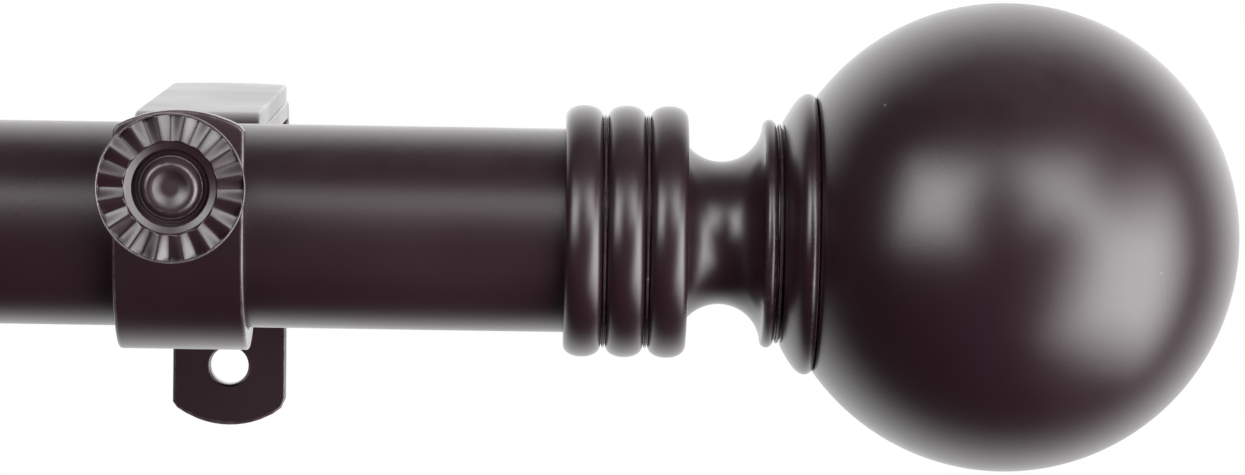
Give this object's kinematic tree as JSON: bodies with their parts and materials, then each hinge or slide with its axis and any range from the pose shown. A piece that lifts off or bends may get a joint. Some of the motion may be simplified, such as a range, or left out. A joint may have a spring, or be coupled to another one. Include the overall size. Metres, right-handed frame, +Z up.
{
  "type": "curtain rod with brackets",
  "caption": "Telescoping curtain rod with ball finials on adjustable strap wall brackets, each with a fluted clamp knob.",
  "frame": {"origin": "centre of the rectangle of four wall screw holes, on the wall plane", "axes": "+X along the rod towards the finial on the outer tube, +Y into the wall, +Z up"},
  "size_m": [0.5133, 0.1182, 0.0651],
  "materials": {
    "tube_bronze": "dark bronze satin powder coat on rolled tube",
    "strap_bronze": "dark bronze satin powder coat on strap steel",
    "finial_bronze": "dark bronze satin coat on turned and spun metal",
    "knob_bronze": "dark bronze satin coat on pressed metal",
    "zinc_plate": "bright zinc plate",
    "brass": "turned brass",
    "nylon": "natural moulded nylon",
    "black_plastic": "moulded black plastic"
  },
  "bodies": {
    "wall_legs": {"wall_leg_right": "strap_bronze", "wall_leg_left": "strap_bronze"},
    "cradle_right": {"cradle_right": "strap_bronze", "lock_stud_right": "zinc_plate"},
    "cradle_left": {"cradle_left": "strap_bronze", "lock_stud_left": "zinc_plate"},
    "washer_right": {"lock_washer_right": "zinc_plate"},
    "nut_right": {"wing_nut_right": "zinc_plate"},
    "pad_right": {"clamp_pad_right": "nylon"},
    "knob_right": {"clamp_screw_right": "knob_bronze", "knob_right": "knob_bronze"},
    "washer_left": {"lock_washer_left": "zinc_plate"},
    "nut_left": {"wing_nut_left": "zinc_plate"},
    "pad_left": {"clamp_pad_left": "nylon"},
    "knob_left": {"clamp_screw_left": "knob_bronze", "knob_left": "knob_bronze"},
    "rod": {"outer_tube": "tube_bronze", "end_plug_right": "black_plastic", "insert_right": "brass"},
    "inner_rod": {"inner_tube": "tube_bronze", "glide_bush": "nylon", "end_plug_left": "black_plastic", "insert_left": "brass"},
    "collar_right": {"collar_right": "finial_bronze"},
    "finial_right": {"neck_right": "finial_bronze", "base_right": "finial_bronze", "ball_right": "finial_bronze", "ball_boss_right": "zinc_plate", "finial_stud_right": "zinc_plate"},
    "collar_left": {"collar_left": "finial_bronze"},
    "finial_left": {"neck_left": "finial_bronze", "base_left": "finial_bronze", "ball_left": "finial_bronze", "ball_boss_left": "zinc_plate", "finial_stud_left": "zinc_plate"}
  },
  "joints": [
    {"name": "projection_right", "type": "slide", "parent": "wall_legs", "child": "cradle_right", "axis": [0, -1, 0], "range_m": [-0.002, 0.012]},
    {"name": "projection_left", "type": "slide", "parent": "wall_legs", "child": "cradle_left", "axis": [0, -1, 0], "range_m": [-0.002, 0.012]},
    {"name": "nut_travel_right", "type": "slide", "parent": "cradle_right", "child": "washer_right", "axis": [0, 0, -1], "range_m": [-0.00001, 0.00501]},
    {"name": "nut_turn_right", "type": "hinge", "parent": "washer_right", "child": "nut_right", "pos_m": [0.114, -0.044, 0.0204], "axis": [0, 0, -1], "range_deg": [0, 2250]},
    {"name": "knob_travel_right", "type": "slide", "parent": "cradle_right", "child": "pad_right", "axis": [0, -1, 0], "range_m": [-0.00111, 0.00161]},
    {"name": "knob_turn_right", "type": "hinge", "parent": "pad_right", "child": "knob_right", "pos_m": [0.114, -0.1105, 0.0211], "axis": [0, -1, 0], "range_deg": [-495, 720]},
    {"name": "nut_travel_left", "type": "slide", "parent": "cradle_left", "child": "washer_left", "axis": [0, 0, -1], "range_m": [-0.00001, 0.00501]},
    {"name": "nut_turn_left", "type": "hinge", "parent": "washer_left", "child": "nut_left", "pos_m": [-0.114, -0.044, 0.0204], "axis": [0, 0, -1], "range_deg": [0, 2250]},
    {"name": "knob_travel_left", "type": "slide", "parent": "cradle_left", "child": "pad_left", "axis": [0, -1, 0], "range_m": [-0.00111, 0.00161]},
    {"name": "knob_turn_left", "type": "hinge", "parent": "pad_left", "child": "knob_left", "pos_m": [-0.114, -0.1105, 0.0211], "axis": [0, -1, 0], "range_deg": [-495, 720]},
    {"name": "rod_lift", "type": "slide", "parent": "cradle_right", "child": "rod", "axis": [0, 0, 1], "range_m": [0, 0.032]},
    {"name": "telescope", "type": "slide", "parent": "rod", "child": "inner_rod", "axis": [-1, 0, 0], "range_m": [-0.042, 0.153]},
    {"name": "finial_travel_right", "type": "slide", "parent": "rod", "child": "collar_right", "axis": [1, 0, 0], "range_m": [-0.00001, 0.01126]},
    {"name": "finial_turn_right", "type": "hinge", "parent": "collar_right", "child": "finial_right", "pos_m": [0.1811, -0.089, 0.0144], "axis": [1, 0, 0], "range_deg": [0, 3240]},
    {"name": "finial_travel_left", "type": "slide", "parent": "inner_rod", "child": "collar_left", "axis": [-1, 0, 0], "range_m": [-0.00001, 0.01126]},
    {"name": "finial_turn_left", "type": "hinge", "parent": "collar_left", "child": "finial_left", "pos_m": [-0.2039, -0.089, 0.0144], "axis": [-1, 0, 0], "range_deg": [0, 3240]}
  ],
  "couplings": [
    {"joint": "projection_left", "follows": "projection_right", "ratio": 1},
    {"joint": "nut_travel_right", "follows": "nut_turn_right", "m_per_rad": 0.00012732},
    {"joint": "knob_travel_right", "follows": "knob_turn_right", "m_per_rad": 0.00012732},
    {"joint": "nut_travel_left", "follows": "nut_turn_left", "m_per_rad": 0.00012732},
    {"joint": "knob_travel_left", "follows": "knob_turn_left", "m_per_rad": 0.00012732},
    {"joint": "finial_travel_right", "follows": "finial_turn_right", "m_per_rad": 0.00019894},
    {"joint": "finial_travel_left", "follows": "finial_turn_left", "m_per_rad": 0.00019894}
  ]
}
